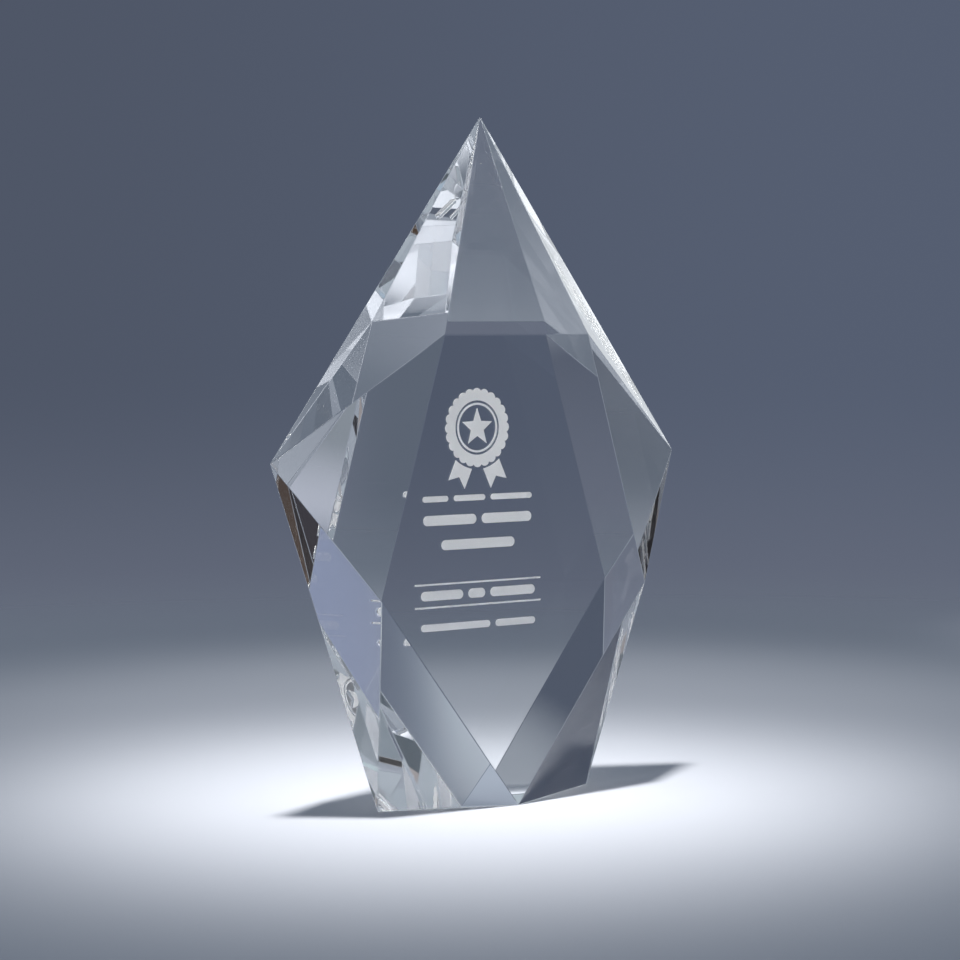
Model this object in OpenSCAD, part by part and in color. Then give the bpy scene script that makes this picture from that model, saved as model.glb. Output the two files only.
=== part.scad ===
// Faceted crystal award: one clear block, cut to facets on both faces and standing on its own base.
// A carved and frosted design on the back face is read from the front, through the block.
// Origin: centre of the base. +Z is up, the plain front face looks along -Y, units are millimetres.

/* [Block] */
// Height of the block from its base to its tip
block_h = 230; // [200:1:260]
// Half of the width at the waist, the widest level
waist_half_w = 85; // [78:0.5:95]
// Height of the waist
waist_z = 116; // [105:1:125]
// Half of the width of the flat faces at their shoulders
shoulder_half_w = 30; // [28:0.5:34]
// Height of the shoulders
shoulder_z = 157; // [150:1:165]
// Half of the thickness at the shoulders
shoulder_half_t = 20; // [16:0.1:24]
// Half of the width of the flat faces at their knees
knee_half_w = 55.5; // [50:0.5:60]
// Height of the knees
knee_z = 71.5; // [65:0.5:76]
// Half of the width of the base
base_half_w = 44.5; // [38:0.5:50]
// Half of the thickness of the base
base_half_t = 18.4; // [15:0.1:22]

/* [Carving] */
// Depth of the carved marks
carve_depth = 0.8; // [0.5:0.05:1.5]
// Thickness of the frosted layer on the floor of each mark
frost_t = 0.3; // [0.1:0.05:0.4]

/* [Emblem] */
// Height of the rosette's centre above the base
rosette_z = 125.8; // [122:0.1:128]
// Radius of the circle that the rosette's scallops sit on
rosette_r = 11.6; // [10:0.1:12.5]
// Radius of one scallop
scallop_r = 1.8; // [1.6:0.05:2]
// Number of scallops round the rosette
scallop_count = 24; // [20:1:28]
// Inner radius of the rosette's pleated band
band_inner_r = 9.2; // [8.8:0.1:9.4]
// Outer radius of the thin ring inside the band
ring_r = 8.4; // [8:0.1:8.6]
// Width of the thin ring
ring_w = 0.7; // [0.4:0.05:1]
// Distance from the star's centre to its points
star_r = 6.6; // [5.5:0.1:7]
// Width of one ribbon tail
ribbon_w = 7.4; // [6:0.1:8]
// Length of one ribbon tail from the rosette's centre
ribbon_len = 21; // [19:0.1:22]
// Angle of each ribbon tail from the vertical
ribbon_angle = 25; // [22:0.5:28]

/* [Heading rows] */
// Height of the first heading row's centre line
heading_1_z = 102.2; // [101:0.1:103]
// Lengths of the first heading row's bars, left to right
heading_1_bars = [10.6, 13.2, 17.6];
// Thickness of the first heading row's bars
heading_1_h = 2; // [1.2:0.1:3]
// Height of the second heading row's centre line
heading_2_z = 95; // [94:0.1:96]
// Lengths of the second heading row's bars, left to right
heading_2_bars = [22, 21.2];
// Thickness of the second heading row's bars
heading_2_h = 3.4; // [2.5:0.1:4.5]
// Height of the third heading row's centre line
heading_3_z = 86.6; // [85:0.1:88]
// Lengths of the third heading row's bars, left to right
heading_3_bars = [30.8];
// Thickness of the third heading row's bars
heading_3_h = 3.4; // [2.5:0.1:4.5]

/* [Name panel] */
// Height of the upper rule's centre line
upper_rule_z = 73.6; // [73:0.1:75]
// Height of the lower rule's centre line
lower_rule_z = 65.9; // [64:0.1:66]
// Length of both rules
rule_len = 53; // [50:0.5:56]
// Thickness of both rules
rule_h = 0.6; // [0.4:0.05:0.8]
// Height of the name row's centre line
name_z = 69.8; // [69.5:0.1:70]
// Lengths of the name row's bars, left to right
name_bars = [17.4, 7, 19];
// Thickness of the name row's bars
name_h = 3.2; // [2:0.1:3.6]
// Height of the caption row's centre line
caption_z = 59.1; // [57:0.1:60]
// Lengths of the caption row's bars, left to right
caption_bars = [28.8, 17];
// Thickness of the caption row's bars
caption_h = 2.4; // [1.5:0.1:3]

/* [Hidden] */
$fn = 48;

// Gap between the bars of a row
word_gap = 2.3;
// Clear band between the rosette and its ribbon tails
ribbon_gap = 0.7;
// Depth of the notch at the end of a ribbon tail
ribbon_notch = 2.8;
// How far a cutter stands out of the face that it cuts
cut_over = 1;
// Number of points on the star, and its inner radius as a part of its outer one
star_points = 5;
star_inner = 0.42;

// The flat faces lean by this angle, because the block is a little thicker at its shoulders than at its base
lean = atan((shoulder_half_t - base_half_t) / shoulder_z);
// The knees lie in the flat face's plane
knee_half_t = base_half_t + (shoulder_half_t - base_half_t) * knee_z / shoulder_z;

glass_colour = [0.80, 0.88, 0.92, 0.45];
frost_colour = [0.95, 0.96, 0.97];

// Corners on the block's middle plane, which the two faces share
middle_points = [
    [0, 0, block_h],
    [-waist_half_w, 0, waist_z], [waist_half_w, 0, waist_z],
    [-base_half_w, 0, 0], [base_half_w, 0, 0]
];

// Corners of one flat face: side is -1 for the front and 1 for the back
function face_points(side) = [
    [-shoulder_half_w, side * shoulder_half_t, shoulder_z], [shoulder_half_w, side * shoulder_half_t, shoulder_z],
    [-knee_half_w, side * knee_half_t, knee_z], [knee_half_w, side * knee_half_t, knee_z],
    [0, side * base_half_t, 0]
];

// The front half's facets: corners 0 to 4 are the middle plane's and 5 to 9 are the front face's
front_facets = [
    [5, 6, 8, 9, 7],
    [0, 6, 5], [0, 5, 1], [0, 2, 6],
    [5, 7, 1], [6, 2, 8],
    [1, 7, 3], [2, 4, 8],
    [7, 9, 3], [8, 4, 9]
];
face_corners = 5;
function mirrored(facet) = [
    for (i = [len(facet) - 1:-1:0]) facet[i] < len(middle_points) ? facet[i] : facet[i] + face_corners
];
back_facets = [for (facet = front_facets) mirrored(facet)];
base_facet = [3, 9, 4, 14];

// Solid block before carving
module blank() {
    polyhedron(
        points = concat(middle_points, face_points(-1), face_points(1)),
        faces = concat(front_facets, back_facets, [base_facet]));
}

// Puts a flat shape, drawn as it is read from the front, on the back face and gives it depth into the block
module on_back_face(from, to) {
    translate([0, base_half_t, 0])
        rotate([90 - lean, 0, 0])
            translate([0, 0, from])
                linear_extrude(height = to - from)
                    children();
}

// The space carved out for a mark
module carve() {
    on_back_face(-cut_over, carve_depth) children();
}

// The frosted layer on the floor of a mark
module frost() {
    color(frost_colour) on_back_face(carve_depth - frost_t, carve_depth) children();
}

// Bar with round ends, centred on the origin
module bar(length, height) {
    square([length - height, height], center = true);
    for (end = [-1, 1])
        translate([end * (length - height) / 2, 0]) circle(d = height);
}

// Sum of the first n values of a list
function sum_first(values, n) = n == 0 ? 0 : values[n - 1] + sum_first(values, n - 1);

// Row of bars that stands for a line of words, centred on the block
module bar_row(bars, height, z) {
    total = sum_first(bars, len(bars)) + word_gap * (len(bars) - 1);
    for (i = [0:len(bars) - 1])
        translate([sum_first(bars, i) + word_gap * i + bars[i] / 2 - total / 2, z])
            bar(bars[i], height);
}

// Thin line across the block
module rule(z) {
    translate([0, z]) square([rule_len, rule_h], center = true);
}

// Pleated band round the star
module rosette_shape() {
    translate([0, rosette_z])
        difference() {
            union() {
                circle(r = rosette_r);
                for (i = [0:scallop_count - 1])
                    rotate(i * 360 / scallop_count) translate([rosette_r, 0]) circle(r = scallop_r);
            }
            circle(r = band_inner_r);
        }
}

// Thin ring inside the band
module ring_shape() {
    translate([0, rosette_z])
        difference() {
            circle(r = ring_r);
            circle(r = ring_r - ring_w);
        }
}

// Star at the centre of the rosette
module star_shape() {
    step = 180 / star_points;
    translate([0, rosette_z])
        polygon([
            for (i = [0:2 * star_points - 1])
                let (r = i % 2 == 0 ? star_r : star_r * star_inner)
                    [r * sin(i * step), r * cos(i * step)]
        ]);
}

// One ribbon tail, hanging down from the origin, with a notched end
module ribbon_tail() {
    polygon([
        [-ribbon_w / 2, 0], [ribbon_w / 2, 0],
        [ribbon_w / 2, -ribbon_len], [0, ribbon_notch - ribbon_len], [-ribbon_w / 2, -ribbon_len]
    ]);
}

// Both ribbon tails, as far as they show below the rosette
module ribbons_shape() {
    for (side = [-1, 1])
        translate([0, rosette_z])
            difference() {
                rotate(side * ribbon_angle) ribbon_tail();
                circle(r = rosette_r + scallop_r + ribbon_gap);
                // The tails stay apart below the rosette
                translate([side > 0 ? -ribbon_len - ribbon_gap / 2 : -ribbon_gap / 2, -2 * ribbon_len])
                    square([ribbon_len + ribbon_gap, 2 * ribbon_len]);
            }
}

module heading_1_shape() { bar_row(heading_1_bars, heading_1_h, heading_1_z); }
module heading_2_shape() { bar_row(heading_2_bars, heading_2_h, heading_2_z); }
module heading_3_shape() { bar_row(heading_3_bars, heading_3_h, heading_3_z); }
module name_shape() { bar_row(name_bars, name_h, name_z); }
module caption_shape() { bar_row(caption_bars, caption_h, caption_z); }

// The clear block, with every mark carved into its back face
module crystal_block() {
    color(glass_colour)
        difference() {
            blank();
            carve() rosette_shape();
            carve() ring_shape();
            carve() star_shape();
            carve() ribbons_shape();
            carve() heading_1_shape();
            carve() heading_2_shape();
            carve() heading_3_shape();
            carve() rule(upper_rule_z);
            carve() name_shape();
            carve() rule(lower_rule_z);
            carve() caption_shape();
        }
}

module emblem_rosette() { frost() rosette_shape(); }
module emblem_ring() { frost() ring_shape(); }
module emblem_star() { frost() star_shape(); }
module emblem_ribbons() { frost() ribbons_shape(); }
module heading_row_1() { frost() heading_1_shape(); }
module heading_row_2() { frost() heading_2_shape(); }
module heading_row_3() { frost() heading_3_shape(); }
module upper_rule() { frost() rule(upper_rule_z); }
module name_row() { frost() name_shape(); }
module lower_rule() { frost() rule(lower_rule_z); }
module caption_row() { frost() caption_shape(); }

crystal_block();
emblem_rosette();
emblem_ring();
emblem_star();
emblem_ribbons();
heading_row_1();
heading_row_2();
heading_row_3();
upper_rule();
name_row();
lower_rule();
caption_row();
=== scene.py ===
"""The looks of a faceted crystal award: clear polished block, frosted carving, floor, lights and camera."""

import math

import bmesh
import bpy
from mathutils import Matrix, Vector


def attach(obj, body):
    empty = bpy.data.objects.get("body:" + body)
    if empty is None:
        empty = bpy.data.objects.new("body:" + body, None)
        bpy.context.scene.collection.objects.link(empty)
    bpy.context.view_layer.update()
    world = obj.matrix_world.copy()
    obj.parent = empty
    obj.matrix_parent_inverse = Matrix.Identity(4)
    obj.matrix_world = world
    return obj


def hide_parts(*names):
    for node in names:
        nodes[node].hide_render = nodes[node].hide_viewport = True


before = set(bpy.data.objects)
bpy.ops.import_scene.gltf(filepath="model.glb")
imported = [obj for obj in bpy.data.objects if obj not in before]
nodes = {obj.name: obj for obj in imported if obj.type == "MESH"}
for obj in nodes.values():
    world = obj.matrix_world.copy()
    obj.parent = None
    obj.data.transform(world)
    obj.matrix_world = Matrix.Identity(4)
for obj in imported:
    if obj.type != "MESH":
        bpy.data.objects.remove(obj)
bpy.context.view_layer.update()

MM = 0.001
MARKS = [name for name in sorted(nodes) if name != "crystal_block"]

# ---------------------------------------------------------------- block
EDGE_BEVEL = 0.18 * MM  # polished edges between facets
EDGE_SEGMENTS = 3
FACET_ANGLE = math.radians(1.0)  # facets that meet at less than this are one facet
WELD = 0.001 * MM  # points closer than this are one point
MARK_SEAT = 0.03 * MM  # how far a frosted mark bites into the glass, so that they touch
CUT_OVER = 1.0 * MM  # how far a cutter stands out of the back face
WALL_LEAN = 0.5  # a mark's face is a side wall if its normal and the back's have a smaller cosine than this
SHORTEST_STEP = 0.001  # a corner whose walls cancel out more than this doesn't move sideways


def new_object(name, data):
    """An object in the scene's own collection."""
    piece = bpy.data.objects.new(name, data)
    bpy.context.scene.collection.objects.link(piece)
    return piece


def faceted_blank(source):
    """The block's own corners as one closed solid with flat facets and sharp edges, before carving."""
    form = bmesh.new()
    form.from_mesh(source.data)
    bmesh.ops.remove_doubles(form, verts=form.verts, dist=WELD)
    hull = bmesh.ops.convex_hull(form, input=form.verts)
    unwanted = hull["geom_interior"] + hull["geom_unused"]
    inside = [item for item in unwanted if isinstance(item, bmesh.types.BMVert)]
    bmesh.ops.delete(form, geom=inside, context="VERTS")
    skin = set(hull["geom"])
    carved = [face for face in form.faces if face not in skin]
    bmesh.ops.delete(form, geom=carved, context="FACES_ONLY")
    bmesh.ops.dissolve_limit(form, angle_limit=FACET_ANGLE, verts=form.verts, edges=form.edges)
    stray = [edge for edge in form.edges if not edge.link_faces]
    bmesh.ops.delete(form, geom=stray, context="EDGES")
    bmesh.ops.recalc_face_normals(form, faces=form.faces)
    return form


def back_direction(form):
    """Outward normal of the big carved facet at the back."""
    back = max(form.faces, key=lambda face: face.normal.y * face.calc_area())
    return back.normal.copy()


def polished_block(form):
    """The blank with a narrow round on each edge. Facets stay flat, and only the rounds shade smoothly."""
    rounds = bmesh.ops.bevel(
        form, geom=list(form.edges) + list(form.verts), offset=EDGE_BEVEL, offset_type="OFFSET",
        segments=EDGE_SEGMENTS, profile=0.5, affect="EDGES", clamp_overlap=True)
    for face in form.faces:
        face.smooth = False
    for face in rounds["faces"]:
        face.smooth = True
    mesh = bpy.data.meshes.new("crystal")
    form.to_mesh(mesh)
    form.free()
    piece = new_object("crystal", mesh)
    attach(piece, "root")
    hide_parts("crystal_block")
    return piece


def wall_shift(vert, outward):
    """Unit step from a corner of a mark towards the mark's inside, along the back facet."""
    step = Vector()
    for face in vert.link_faces:
        if abs(face.normal.dot(outward)) < WALL_LEAN:
            step -= face.normal
    if step.length > SHORTEST_STEP:
        step.normalize()
    return step


def cutter_for(mark, outward):
    """The space that is carved out behind a frosted mark, a hair smaller than the mark itself."""
    form = bmesh.new()
    form.from_mesh(mark.data)
    bmesh.ops.remove_doubles(form, verts=form.verts, dist=WELD)
    bmesh.ops.recalc_face_normals(form, faces=form.faces)
    heights = [vert.co.dot(outward) for vert in form.verts]
    middle = (min(heights) + max(heights)) / 2
    moves = []
    for vert, height in zip(form.verts, heights):
        move = (wall_shift(vert, outward) + outward) * MARK_SEAT
        if height > middle:
            move += outward * CUT_OVER
        moves.append(move)
    for vert, move in zip(form.verts, moves):
        vert.co += move
    mesh = bpy.data.meshes.new("cutter")
    form.to_mesh(mesh)
    form.free()
    return new_object("cutter", mesh)


def carve(piece, names, outward):
    """Takes the carved spaces out of the block."""
    for name in names:
        cutter = cutter_for(nodes[name], outward)
        step = piece.modifiers.new("carve", "BOOLEAN")
        step.operation = "DIFFERENCE"
        step.solver = "EXACT"
        step.object = cutter
        with bpy.context.temp_override(object=piece, active_object=piece):
            bpy.ops.object.modifier_apply(modifier=step.name)
        bpy.data.objects.remove(cutter)


blank = faceted_blank(nodes["crystal_block"])
outward = back_direction(blank)
crystal = polished_block(blank)
carve(crystal, MARKS, outward)

# ---------------------------------------------------------------- materials
WAVE_SCALE = 12  # waves a metre in the hand polish
WAVE_DEPTH = 0.1 * MM
CRYSTAL_TINTS = ((0.975, 0.99, 0.99), (0.99, 0.995, 1.0))
CRYSTAL_IOR = 1.5

PIT_SCALE = 2600  # pits a metre in the sandblasting
PIT_DETAIL = 3
PIT_DEPTH = 0.05 * MM
FROST_TINTS = ((0.86, 0.88, 0.91), (0.98, 0.98, 1.0))
FROST_ROUGHNESS = (0.6, 0.9)
FROST_IOR = 1.52


def node_material(name):
    """A new node material, its tree and its Principled shader."""
    material = bpy.data.materials.new(name)
    material.use_nodes = True
    return material, material.node_tree, material.node_tree.nodes["Principled BSDF"]


def noise(tree, scale, detail):
    """Noise that lies still in the object's own space, with scale in waves a metre."""
    place = tree.nodes.new("ShaderNodeTexCoord")
    grain = tree.nodes.new("ShaderNodeTexNoise")
    grain.inputs["Scale"].default_value = scale
    grain.inputs["Detail"].default_value = detail
    tree.links.new(place.outputs["Object"], grain.inputs["Vector"])
    return grain.outputs["Fac"]


def ranged(tree, value, low, high):
    """value, from 0 to 1, stretched to run from low to high."""
    step = tree.nodes.new("ShaderNodeMapRange")
    step.inputs["To Min"].default_value = low
    step.inputs["To Max"].default_value = high
    tree.links.new(value, step.inputs["Value"])
    return step.outputs["Result"]


def bump(tree, height, depth):
    """Surface bump of the given depth in metres."""
    step = tree.nodes.new("ShaderNodeBump")
    step.inputs["Distance"].default_value = depth
    tree.links.new(height, step.inputs["Height"])
    return step.outputs["Normal"]


def tinted(tree, value, dark, light):
    """A colour that runs from dark to light with value."""
    step = tree.nodes.new("ShaderNodeMix")
    step.data_type = "RGBA"
    step.inputs["A"].default_value = (*dark, 1)
    step.inputs["B"].default_value = (*light, 1)
    tree.links.new(value, step.inputs["Factor"])
    return step.outputs["Result"]


def crystal_material():
    """Clear optical crystal: cut facets that were polished by hand, so very slightly wavy."""
    material, tree, shader = node_material("optical_crystal")
    wave = noise(tree, WAVE_SCALE, 0)
    tree.links.new(tinted(tree, wave, *CRYSTAL_TINTS), shader.inputs["Base Color"])
    tree.links.new(bump(tree, wave, WAVE_DEPTH), shader.inputs["Normal"])
    shader.inputs["Roughness"].default_value = 0.0
    shader.inputs["IOR"].default_value = CRYSTAL_IOR
    shader.inputs["Transmission Weight"].default_value = 1.0
    return material


def frost_material():
    """Deep sandblasted crystal: white, matt and finely pitted."""
    material, tree, shader = node_material("frosted_carving")
    pits = noise(tree, PIT_SCALE, PIT_DETAIL)
    tree.links.new(tinted(tree, pits, *FROST_TINTS), shader.inputs["Base Color"])
    tree.links.new(ranged(tree, pits, *FROST_ROUGHNESS), shader.inputs["Roughness"])
    tree.links.new(bump(tree, pits, PIT_DEPTH), shader.inputs["Normal"])
    shader.inputs["IOR"].default_value = FROST_IOR
    return material


def finish_node(node, material):
    """Gives a piece or a carried-over CAD node its material."""
    node.data.materials.clear()
    node.data.materials.append(material)


finish_node(crystal, crystal_material())
frost = frost_material()
for name in MARKS:
    finish_node(nodes[name], frost)

# ---------------------------------------------------------------- camera
# A fitting program matched this view to the block's corners. Angles are in degrees and places in metres.
VIEW_LENS = 100  # millimetres, like the sensor's width
VIEW_SENSOR = 36
VIEW_AZIMUTH = -37.24  # where the camera stands: turned from the front towards -X
VIEW_DISTANCE = 0.899
VIEW_HEIGHT = 0.1506
VIEW_SIDESTEP = -0.00087
VIEW_PITCH = -2.714
VIEW_ROLL = -0.417


def camera():
    """Long product view from the front left, from a little above the middle of the block."""
    data = bpy.data.cameras.new("camera")
    data.lens = VIEW_LENS
    data.sensor_width = VIEW_SENSOR
    seat = new_object("camera", data)
    turn = Matrix.Rotation(math.radians(VIEW_AZIMUTH), 4, "Z")
    seat.location = turn @ Vector((VIEW_SIDESTEP, -VIEW_DISTANCE, VIEW_HEIGHT))
    turn = turn @ Matrix.Rotation(math.radians(90 + VIEW_PITCH), 4, "X")
    turn = turn @ Matrix.Rotation(math.radians(VIEW_ROLL), 4, "Z")
    seat.rotation_euler = turn.to_euler()
    bpy.context.scene.camera = seat


# ---------------------------------------------------------------- stage and light
FLOOR_DROP = 0.1 * MM  # gap under the base, so that two faces never lie in one plane
FLOOR_RADIUS = 1.6
FLOOR_SIDES = 96
FLOOR_FADE = (0.40, 1.05)  # the floor melts into the surroundings between these distances
MOTTLE_SCALE = 9  # patches a metre
MOTTLE_DETAIL = 2
FLOOR_TINTS = ((0.39, 0.413, 0.468), (0.41, 0.433, 0.488))
FLOOR_ROUGHNESS = 0.9
FLOOR_SPECULAR = 0.2

TENT_LOW = (0.26, 0.29, 0.35)  # cloth tent around the table, near the table top
TENT_HIGH = (0.38, 0.43, 0.49)  # the same tent overhead
TENT_ELEVATIONS = (-10, 50)  # degrees: low colour below the first, high colour above the second

BACKDROP_AZIMUTH = 36  # slate backdrop behind the block, across from the camera
BACKDROP_HALF_WIDTH = (13.5, 16.5)  # degrees: full slate inside the first, none past the second
BACKDROP_TOP = (7.8, 9.5)  # degrees up, in the same way
SLATE_TURN = (-10, 10)  # degrees across: left colour before the first, right colour after the second
SLATE_LEFT = (0.078, 0.094, 0.135)
SLATE_RIGHT = (0.092, 0.113, 0.166)
SLATE_FOOT = (0.130, 0.148, 0.200)  # the backdrop is paler where it meets the table
FOOT_RISE = (0, -7)  # degrees up: slate above the first, the foot's colour below the second

# One lamp head with three overlapping beams, so the block casts one clean shadow.
OVERHEAD = (-0.20, -0.18, 1.63)
OVERHEAD_SIZE = 0.08
OVERHEAD_COLOUR = (1.0, 0.97, 0.92)
POOLS = [  # name, where the beam meets the table, radius of its pool, power
    ("overhead", (0.010, 0.025, 0), 0.205, 144),
    ("overhead_front", (-0.047, -0.054, 0), 0.20, 84),
    ("overhead_rear", (0.118, 0.160, 0), 0.33, 58),
]

SIDE = (0.70, 0.08, 1.3)  # a second lamp, beside the block
SIDE_TARGET = (0.70, 0.07, 0)
SIDE_POOL = 0.28
SIDE_POWER = 64
SIDE_SIZE = 0.05
SIDE_COLOUR = (1.0, 0.95, 0.96)

# Cards and flags around the table: azimuth, elevation, core and outer radius in degrees, colour.
# This isn't an example to copy: a least-squares program placed some of these, and the rest were set to suit
# the main view. With an empty list, and without LOW_GLOW, the studio is plain.
CARDS = [
    (6, 13, 4, 13, (0.09, 0.105, 0.15)),
    (7.5, 14, 3, 6, (0.04, 0.05, 0.08)),
    (4, 2, 2, 8, (0.16, 0.18, 0.24)),
    (5, -9, 5, 9, (0.10, 0.115, 0.15)),
    (53, -5, 3, 7, (0.09, 0.11, 0.15)),
    (49.5, 3.5, 2.5, 4.5, (0.18, 0.215, 0.27)),
    (56, 3, 2.5, 5.5, (0.44, 0.49, 0.56)),
    (57, 8.5, 2.5, 6, (1.15, 1.20, 1.22)),
    (82, -6, 5, 8, (0.23, 0.26, 0.30)),
    (81, 4, 4, 6, (0.29, 0.34, 0.50)),
    (98, 5, 4, 8, (0.05, 0.05, 0.06)),
    (91, 1, 2, 4, (0.03, 0.03, 0.03)),
    (122, 18, 6, 26, (0.26, 0.30, 0.38)),
    (121, 9, 4, 7, (0.06, 0.035, 0.02)),
    (162, -6, 12, 28, (0.08, 0.08, 0.09)),
    (168, 3, 6, 11, (0.02, 0.015, 0.015)),
    (143, -4, 6, 10, (0.03, 0.025, 0.03)),
    (-140, 26, 8, 28, (0.30, 0.27, 0.27)),
    (-132, 40, 8, 20, (0.06, 0.08, 0.10)),
    (-129, 12, 6, 11, (0.02, 0.02, 0.02)),
    (-78, 30, 8, 26, (0.18, 0.22, 0.26)),
    (-26, 6.5, 2, 4, (0.012, 0.010, 0.014)),
    (180, 82, 6, 18, (0.08, 0.10, 0.12)),
    (37, 12, 4, 8, (0.36, 0.41, 0.50)),
    (23, 26, 4, 9, (0.46, 0.56, 0.60)),
    (30, 38, 6, 12, (0.38, 0.48, 0.60)),
]
LOW_GLOW = (24, -0.5, 1, 2.8, (0.27, 0.30, 0.35))  # lit foot of the slate's left side, drawn over it

LIGHT_BOUNCES = 24


def direction(azimuth, elevation):
    """Unit vector that points azimuth degrees to the right of +Y and elevation degrees up."""
    across, up = math.radians(azimuth), math.radians(elevation)
    return Vector((math.sin(across) * math.cos(up), math.cos(across) * math.cos(up), math.sin(up)))


def calculate(tree, operation, value, other=0.0):
    """One Math node. value is a socket, and other a number or a socket."""
    step = tree.nodes.new("ShaderNodeMath")
    step.operation = operation
    tree.links.new(value, step.inputs[0])
    if isinstance(other, (int, float)):
        step.inputs[1].default_value = other
    else:
        tree.links.new(other, step.inputs[1])
    return step.outputs[0]


def soft_step(tree, value, start, end):
    """0 before start and 1 after end, smooth between."""
    step = tree.nodes.new("ShaderNodeMapRange")
    step.interpolation_type = "SMOOTHSTEP"
    step.inputs["From Min"].default_value = min(start, end)
    step.inputs["From Max"].default_value = max(start, end)
    if start > end:
        step.inputs["To Min"].default_value = 1.0
        step.inputs["To Max"].default_value = 0.0
    tree.links.new(value, step.inputs["Value"])
    return step.outputs["Result"]


def mixed(tree, share, below, above):
    """below where share is 0, above where it is 1. Each is a colour or a socket."""
    step = tree.nodes.new("ShaderNodeMix")
    step.data_type = "RGBA"
    tree.links.new(share, step.inputs["Factor"])
    for socket, colour in ((step.inputs["A"], below), (step.inputs["B"], above)):
        if isinstance(colour, tuple):
            socket.default_value = (*colour, 1)
        else:
            tree.links.new(colour, socket)
    return step.outputs["Result"]


def card(tree, ray, colour, azimuth, elevation, core, reach, card_colour):
    """A round card with a soft edge, hung in front of what is there already."""
    facing = tree.nodes.new("ShaderNodeVectorMath")
    facing.operation = "DOT_PRODUCT"
    tree.links.new(ray, facing.inputs[0])
    facing.inputs[1].default_value = direction(azimuth, elevation)
    rim = math.cos(math.radians(reach))
    heart = math.cos(math.radians(core))
    share = soft_step(tree, facing.outputs["Value"], rim, heart)
    return mixed(tree, share, colour, card_colour)


def studio():
    """A tent, cards and flags, and a slate backdrop across from the camera, all infinitely far away."""
    world = bpy.data.worlds.new("studio")
    bpy.context.scene.world = world
    world.use_nodes = True
    tree = world.node_tree
    ray = tree.nodes.new("ShaderNodeTexCoord").outputs["Generated"]
    turn = tree.nodes.new("ShaderNodeVectorRotate")
    turn.rotation_type = "Z_AXIS"
    turn.inputs["Angle"].default_value = math.radians(BACKDROP_AZIMUTH)
    tree.links.new(ray, turn.inputs["Vector"])
    parts = tree.nodes.new("ShaderNodeSeparateXYZ")
    tree.links.new(turn.outputs["Vector"], parts.inputs["Vector"])
    across = calculate(tree, "ARCTAN2", parts.outputs["X"], parts.outputs["Y"])
    up = calculate(tree, "ARCSINE", parts.outputs["Z"])
    colour = mixed(tree, soft_step(tree, up, *map(math.radians, TENT_ELEVATIONS)), TENT_LOW, TENT_HIGH)
    for place in CARDS:
        colour = card(tree, ray, colour, *place)
    spread = calculate(tree, "ABSOLUTE", across)
    beside = soft_step(tree, spread, *map(math.radians, reversed(BACKDROP_HALF_WIDTH)))
    below = soft_step(tree, up, *map(math.radians, reversed(BACKDROP_TOP)))
    slate = mixed(tree, soft_step(tree, across, *map(math.radians, SLATE_TURN)), SLATE_LEFT, SLATE_RIGHT)
    slate = mixed(tree, soft_step(tree, up, *map(math.radians, FOOT_RISE)), slate, SLATE_FOOT)
    colour = mixed(tree, calculate(tree, "MULTIPLY", beside, below), colour, slate)
    colour = card(tree, ray, colour, *LOW_GLOW)
    tree.links.new(colour, tree.nodes["Background"].inputs["Color"])


def floor_material():
    """Matt pale table top with a faint mottle, which melts into the surroundings far from the block."""
    material, tree, shader = node_material("floor")
    mottle = noise(tree, MOTTLE_SCALE, MOTTLE_DETAIL)
    tree.links.new(tinted(tree, mottle, *FLOOR_TINTS), shader.inputs["Base Color"])
    shader.inputs["Roughness"].default_value = FLOOR_ROUGHNESS
    shader.inputs["Specular IOR Level"].default_value = FLOOR_SPECULAR
    place = tree.nodes.new("ShaderNodeTexCoord")
    reach = tree.nodes.new("ShaderNodeVectorMath")
    reach.operation = "LENGTH"
    tree.links.new(place.outputs["Object"], reach.inputs[0])
    shown = soft_step(tree, reach.outputs["Value"], *reversed(FLOOR_FADE))
    tree.links.new(shown, shader.inputs["Alpha"])
    return material


def floor():
    """Round table top under the block."""
    form = bmesh.new()
    bmesh.ops.create_circle(form, cap_ends=True, radius=FLOOR_RADIUS, segments=FLOOR_SIDES)
    mesh = bpy.data.meshes.new("floor")
    form.to_mesh(mesh)
    form.free()
    mesh.materials.append(floor_material())
    disc = new_object("floor", mesh)
    disc.location = (0, 0, -FLOOR_DROP)


def spot(name, place, target, pool_radius, power, size, colour):
    """A lamp that throws a soft-edged pool of light of the given radius around target."""
    lamp = bpy.data.lights.new(name, "SPOT")
    throw = Vector(target) - Vector(place)
    lamp.spot_size = 2 * math.atan(pool_radius / throw.length)
    lamp.spot_blend = 1.0
    lamp.shadow_soft_size = size
    lamp.energy = power
    lamp.color = colour
    seat = new_object(name, lamp)
    seat.location = place
    seat.rotation_euler = throw.to_track_quat("-Z", "Y").to_euler()


floor()
camera()
studio()
for name, target, pool_radius, power in POOLS:
    spot(name, OVERHEAD, target, pool_radius, power, OVERHEAD_SIZE, OVERHEAD_COLOUR)
spot("side", SIDE, SIDE_TARGET, SIDE_POOL, SIDE_POWER, SIDE_SIZE, SIDE_COLOUR)

scene = bpy.context.scene
scene.view_settings.view_transform = "Standard"
scene.cycles.max_bounces = LIGHT_BOUNCES
scene.cycles.transmission_bounces = LIGHT_BOUNCES
scene.cycles.glossy_bounces = LIGHT_BOUNCES
scene.cycles.transparent_max_bounces = LIGHT_BOUNCES
